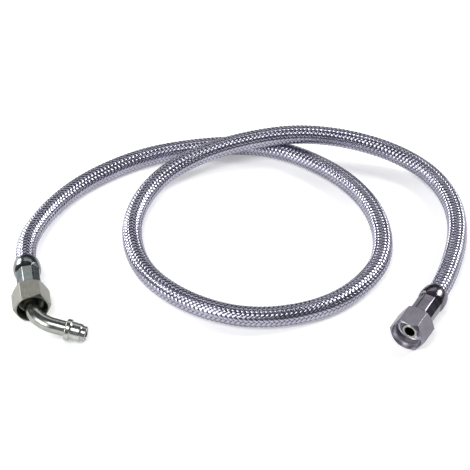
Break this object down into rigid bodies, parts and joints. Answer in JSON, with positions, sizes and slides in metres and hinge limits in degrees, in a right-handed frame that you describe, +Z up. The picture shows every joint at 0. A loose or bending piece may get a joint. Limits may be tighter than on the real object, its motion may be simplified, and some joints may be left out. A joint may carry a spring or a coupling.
{
  "type": "braided supply line",
  "caption": "Flexible wire-braided hose with crimped ferrules, a swivel union nut at one end and a bent tube end with cutting ring and union nut at the other.",
  "frame": {"origin": "on the table, at the bottom centre of the box around the two end fittings (the hose left out)", "axes": "+X from the elbow end towards the straight end, +Y from the fittings towards the hose loop, +Z up from the table"},
  "size_m": [0.2445, 0.1736, 0.0224],
  "materials": {
    "braid_wire": "bright woven stainless wire, dark between the strands",
    "liner_rubber": "matt black rubber",
    "ferrule_steel": "polished plated steel, pressed flats",
    "nipple_steel": "turned plated steel",
    "tube_steel": "bright plated tube, smooth bend",
    "ring_steel": "bright turned ring",
    "elbow_nut_steel": "satin machined zinc plate, warm grey",
    "straight_nut_steel": "satin machined zinc plate, cool grey"
  },
  "bodies": {
    "hose_assembly": {"wire_braid": "braid_wire", "inner_tube": "liner_rubber", "elbow_ferrule": "ferrule_steel", "elbow_nipple": "nipple_steel", "elbow_tube": "tube_steel", "cutting_ring": "ring_steel", "straight_ferrule": "ferrule_steel", "straight_nipple": "nipple_steel"},
    "straight_nut": {"straight_nut": "straight_nut_steel"},
    "elbow_nut": {"elbow_nut": "elbow_nut_steel"}
  },
  "joints": [
    {"name": "straight_nut_spin", "type": "hinge", "parent": "hose_assembly", "child": "straight_nut", "pos_m": [0.0886, -0.0257, 0.0085], "axis": [-0.518, -0.8554, 0], "continuous": true},
    {"name": "elbow_nut_spin", "type": "hinge", "parent": "hose_assembly", "child": "elbow_nut", "pos_m": [-0.0983, -0.0063, 0.0085], "axis": [0.2079, -0.9781, 0], "continuous": true}
  ]
}
